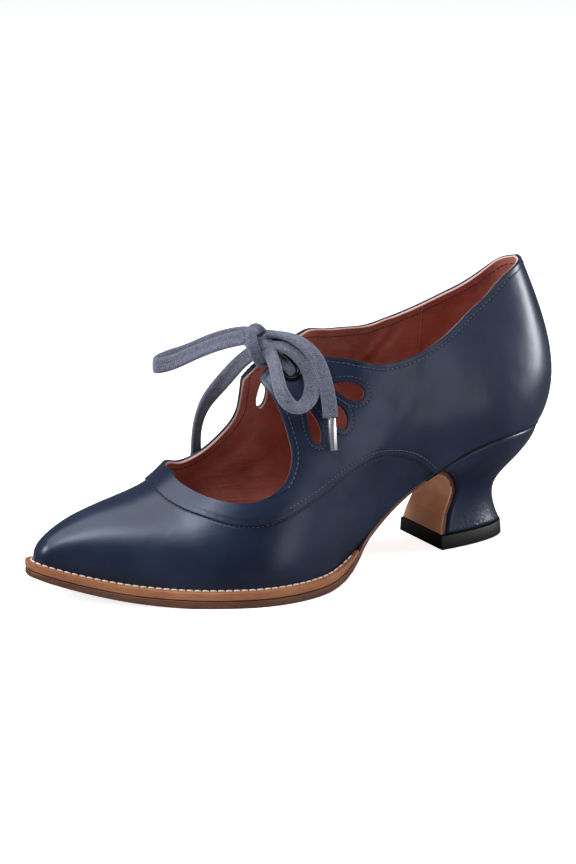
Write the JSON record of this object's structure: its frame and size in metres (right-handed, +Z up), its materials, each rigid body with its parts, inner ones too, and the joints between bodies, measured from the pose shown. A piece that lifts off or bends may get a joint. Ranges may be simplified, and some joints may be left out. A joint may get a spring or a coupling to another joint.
{
  "type": "lace up heel",
  "caption": "Laced leather pump for the left foot: hollow upper with a keyhole throat and cut-outs, welted sole, waisted covered heel and a tied lace.",
  "frame": {"origin": "under the middle of the top lift, on the floor", "axes": "+X to the toe, +Y to the outer (lateral) side, +Z up"},
  "size_m": [0.2387, 0.0892, 0.1205],
  "materials": {
    "leather_navy": "smooth polished leather",
    "leather_lining": "matte grained lining leather",
    "leather_tan": "natural cut leather",
    "leather_sole": "stained sole leather",
    "rubber_black": "matte rubber",
    "eyelet_black": "gloss black metal",
    "cotton_navy": "woven cotton",
    "tip_silver": "bright metal"
  },
  "bodies": {
    "root": {"upper": "leather_navy", "insole": "leather_lining", "welt": "leather_tan", "outsole": "leather_sole", "heel": "leather_navy", "top_lift": "rubber_black", "eyelet_lateral": "eyelet_black", "eyelet_medial": "eyelet_black", "lace_bar": "cotton_navy", "lace_knot": "cotton_navy", "lace_lead_medial": "cotton_navy", "lace_lead_lateral": "cotton_navy", "lace_loop_medial": "cotton_navy", "lace_loop_lateral": "cotton_navy", "lace_tail_medial": "cotton_navy", "lace_tail_lateral": "cotton_navy", "lace_tip_medial": "tip_silver", "lace_tip_lateral": "tip_silver"}
  },
  "joints": []
}
